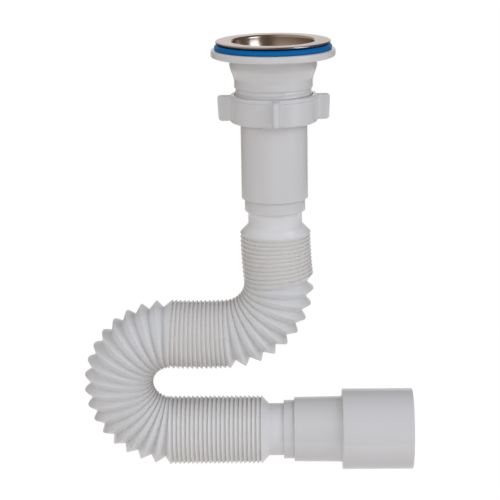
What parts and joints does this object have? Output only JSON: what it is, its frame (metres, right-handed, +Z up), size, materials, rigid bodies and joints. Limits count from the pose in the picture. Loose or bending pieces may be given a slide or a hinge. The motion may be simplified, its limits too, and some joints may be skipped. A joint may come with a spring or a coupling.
{
  "type": "flexible sink trap",
  "caption": "Flexible sink waste trap: steel strainer cup, flanged waste body, winged union nut, tail pipe, bellows hose with a U-bend water seal and a stepped outlet.",
  "frame": {"origin": "on the axis of the waste, on top of the sink gasket, where the sink's floor is clamped", "axes": "+Z up along the waste axis, +X towards the outlet end, +Y away from the picture's viewer"},
  "size_m": [0.2032, 0.074, 0.2681],
  "materials": {
    "steel": "polished stainless steel sheet",
    "brass": "machined brass",
    "blue_rubber": "smooth moulded rubber",
    "grey_rubber": "moulded rubber",
    "white_plastic": "satin-gloss moulded polypropylene",
    "hose_plastic": "satin polypropylene, extruded and blown into folds"
  },
  "bodies": {
    "waste_head": {"strainer_cup": "steel", "cup_screw": "steel", "captive_nut": "brass", "sink_gasket": "blue_rubber", "waste_body": "white_plastic"},
    "seal": {"cone_washer": "grey_rubber"},
    "nut": {"union_nut": "white_plastic"},
    "tail": {"tail_pipe": "white_plastic"},
    "hose": {"corrugated_hose": "hose_plastic"},
    "outlet": {"outlet_adapter": "white_plastic"}
  },
  "joints": [
    {"name": "seal_slide", "type": "slide", "parent": "waste_head", "child": "seal", "axis": [0, 0, -1], "range_m": [0, 0.00924]},
    {"name": "nut_turn", "type": "hinge", "parent": "seal", "child": "nut", "pos_m": [0, 0, -0.038], "axis": [0, 0, -1], "range_deg": [0, 1440]},
    {"name": "tail_swivel", "type": "hinge", "parent": "seal", "child": "tail", "pos_m": [0, 0, -0.0586], "axis": [0, 0, 1], "continuous": true},
    {"name": "elbow_flex", "type": "hinge", "parent": "tail", "child": "hose", "pos_m": [-0.03126, 0, -0.14552], "axis": [0, 1, 0], "range_deg": [-45, 20], "deforming": ["corrugated_hose"]},
    {"name": "outlet_pull", "type": "slide", "parent": "hose", "child": "outlet", "axis": [1, 0, 0], "range_m": [0, 0.08], "deforming": ["corrugated_hose"]}
  ],
  "couplings": [
    {"joint": "nut_turn", "follows": "seal_slide", "rad_per_m": 2721.2}
  ]
}
